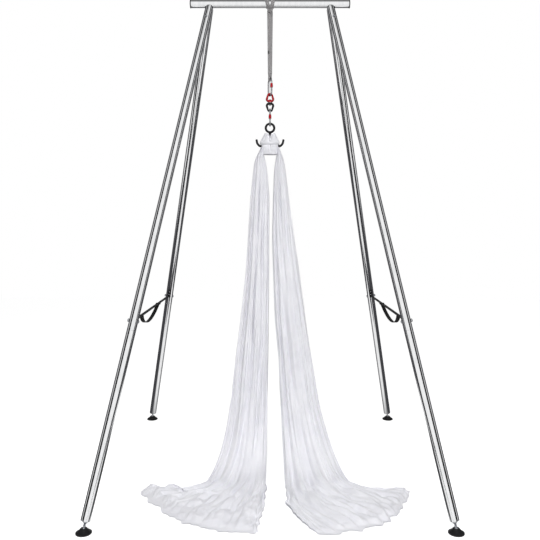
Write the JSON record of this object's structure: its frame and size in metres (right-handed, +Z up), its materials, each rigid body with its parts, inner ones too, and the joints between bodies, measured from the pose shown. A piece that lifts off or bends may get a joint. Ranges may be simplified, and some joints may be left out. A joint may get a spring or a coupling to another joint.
{
  "type": "aerial rig",
  "caption": "Free-standing splayed-leg frame whose top bar carries a sling, screw-gate carabiners, a swivel and a figure-eight with a long silk.",
  "frame": {"origin": "on the floor under the middle of the top bar, the middle of the four feet", "axes": "+X along the top bar to the right, +Y to the rear, +Z up"},
  "size_m": [1.916, 1.88, 2.9533],
  "materials": {
    "polished_steel": "polished, fine brush marks",
    "zinc_steel": "zinc plated",
    "cap_plastic": "matt moulded",
    "black_rubber": "matt moulded",
    "black_webbing": "woven",
    "grey_webbing": "woven",
    "red_anodised": "anodised",
    "black_anodised": "anodised",
    "silk": "smooth knitted tricot"
  },
  "bodies": {
    "frame": {"top_bar": "polished_steel", "bar_end_cap_left": "cap_plastic", "bar_end_cap_right": "cap_plastic", "upper_leg_front_left": "polished_steel", "upper_leg_front_right": "polished_steel", "upper_leg_rear_left": "polished_steel", "upper_leg_rear_right": "polished_steel", "lower_leg_front_left": "polished_steel", "lower_leg_front_right": "polished_steel", "lower_leg_rear_left": "polished_steel", "lower_leg_rear_right": "polished_steel", "splice_sleeve_front_left": "zinc_steel", "splice_sleeve_front_right": "zinc_steel", "splice_sleeve_rear_left": "zinc_steel", "splice_sleeve_rear_right": "zinc_steel", "leg_bolt_front_left": "zinc_steel", "leg_bolt_front_right": "zinc_steel", "leg_bolt_rear_left": "zinc_steel", "leg_bolt_rear_right": "zinc_steel", "leg_nut_front_left": "zinc_steel", "leg_nut_front_right": "zinc_steel", "leg_nut_rear_left": "zinc_steel", "leg_nut_rear_right": "zinc_steel", "leg_screw_front_left": "zinc_steel", "leg_screw_front_right": "zinc_steel", "leg_screw_rear_left": "zinc_steel", "leg_screw_rear_right": "zinc_steel", "lock_nut_front_left": "zinc_steel", "lock_nut_front_right": "zinc_steel", "lock_nut_rear_left": "zinc_steel", "lock_nut_rear_right": "zinc_steel", "strap_left": "black_webbing", "strap_right": "black_webbing", "strap_slider_left": "black_anodised", "strap_slider_right": "black_anodised", "hang_sling": "grey_webbing", "upper_carabiner_body": "polished_steel", "upper_gate_pin": "zinc_steel", "swivel_upper_ring": "red_anodised", "swivel_bearing": "zinc_steel"},
    "upper_gate": {"upper_carabiner_gate": "polished_steel"},
    "upper_sleeve": {"upper_screw_sleeve": "red_anodised"},
    "swivel": {"swivel_lower_ring": "black_anodised", "swivel_axle": "zinc_steel", "lower_carabiner_body": "polished_steel", "lower_gate_pin": "zinc_steel", "figure_eight": "black_anodised", "silk_wrap": "silk", "silk_tail_left": "silk", "silk_tail_right": "silk"},
    "lower_gate": {"lower_carabiner_gate": "polished_steel"},
    "lower_sleeve": {"lower_screw_sleeve": "red_anodised"},
    "stud_front_left": {"foot_stud_front_left": "zinc_steel"},
    "stud_front_right": {"foot_stud_front_right": "zinc_steel"},
    "stud_rear_left": {"foot_stud_rear_left": "zinc_steel"},
    "stud_rear_right": {"foot_stud_rear_right": "zinc_steel"},
    "pad_front_left": {"foot_pad_front_left": "black_rubber"},
    "pad_front_right": {"foot_pad_front_right": "black_rubber"},
    "pad_rear_left": {"foot_pad_rear_left": "black_rubber"},
    "pad_rear_right": {"foot_pad_rear_right": "black_rubber"}
  },
  "joints": [
    {"name": "upper_gate_hinge", "type": "hinge", "parent": "frame", "child": "upper_gate", "pos_m": [0.00955, -0.02364, 2.3731], "axis": [-0.9272, -0.3746, 0], "range_deg": [0, 24], "stiffness_Nm_per_rad": 0.3, "springref_deg": -28.65},
    {"name": "upper_sleeve_screw", "type": "slide", "parent": "upper_gate", "child": "upper_sleeve", "axis": [0, 0, 1], "range_m": [-0.007, 0.008]},
    {"name": "swivel_turn", "type": "hinge", "parent": "frame", "child": "swivel", "pos_m": [0, 0, 2.2979], "axis": [0, 0, 1], "continuous": true},
    {"name": "lower_gate_hinge", "type": "hinge", "parent": "swivel", "child": "lower_gate", "pos_m": [0, -0.0255, 2.1817], "axis": [-1, 0, 0], "range_deg": [0, 24], "stiffness_Nm_per_rad": 0.3, "springref_deg": -28.65},
    {"name": "lower_sleeve_screw", "type": "slide", "parent": "lower_gate", "child": "lower_sleeve", "axis": [0, 0, 1], "range_m": [0, 0.015]},
    {"name": "foot_screw_front_left", "type": "slide", "parent": "frame", "child": "stud_front_left", "axis": [-0.1741, -0.2918, -0.9405], "range_m": [-0.015, 0.02]},
    {"name": "foot_screw_front_right", "type": "slide", "parent": "frame", "child": "stud_front_right", "axis": [0.1741, -0.2918, -0.9405], "range_m": [-0.015, 0.02]},
    {"name": "foot_screw_rear_left", "type": "slide", "parent": "frame", "child": "stud_rear_left", "axis": [-0.1741, 0.2918, -0.9405], "range_m": [-0.015, 0.02]},
    {"name": "foot_screw_rear_right", "type": "slide", "parent": "frame", "child": "stud_rear_right", "axis": [0.1741, 0.2918, -0.9405], "range_m": [-0.015, 0.02]},
    {"name": "pad_tilt_front_left", "type": "hinge", "parent": "stud_front_left", "child": "pad_front_left", "pos_m": [-0.918, -0.9, 0.024], "axis": [-0.8587, 0.5124, 0], "range_deg": [-11, 11]},
    {"name": "pad_tilt_front_right", "type": "hinge", "parent": "stud_front_right", "child": "pad_front_right", "pos_m": [0.918, -0.9, 0.024], "axis": [-0.8587, -0.5124, 0], "range_deg": [-11, 11]},
    {"name": "pad_tilt_rear_left", "type": "hinge", "parent": "stud_rear_left", "child": "pad_rear_left", "pos_m": [-0.918, 0.9, 0.024], "axis": [0.8587, 0.5124, 0], "range_deg": [-11, 11]},
    {"name": "pad_tilt_rear_right", "type": "hinge", "parent": "stud_rear_right", "child": "pad_rear_right", "pos_m": [0.918, 0.9, 0.024], "axis": [0.8587, -0.5124, 0], "range_deg": [-11, 11]}
  ]
}
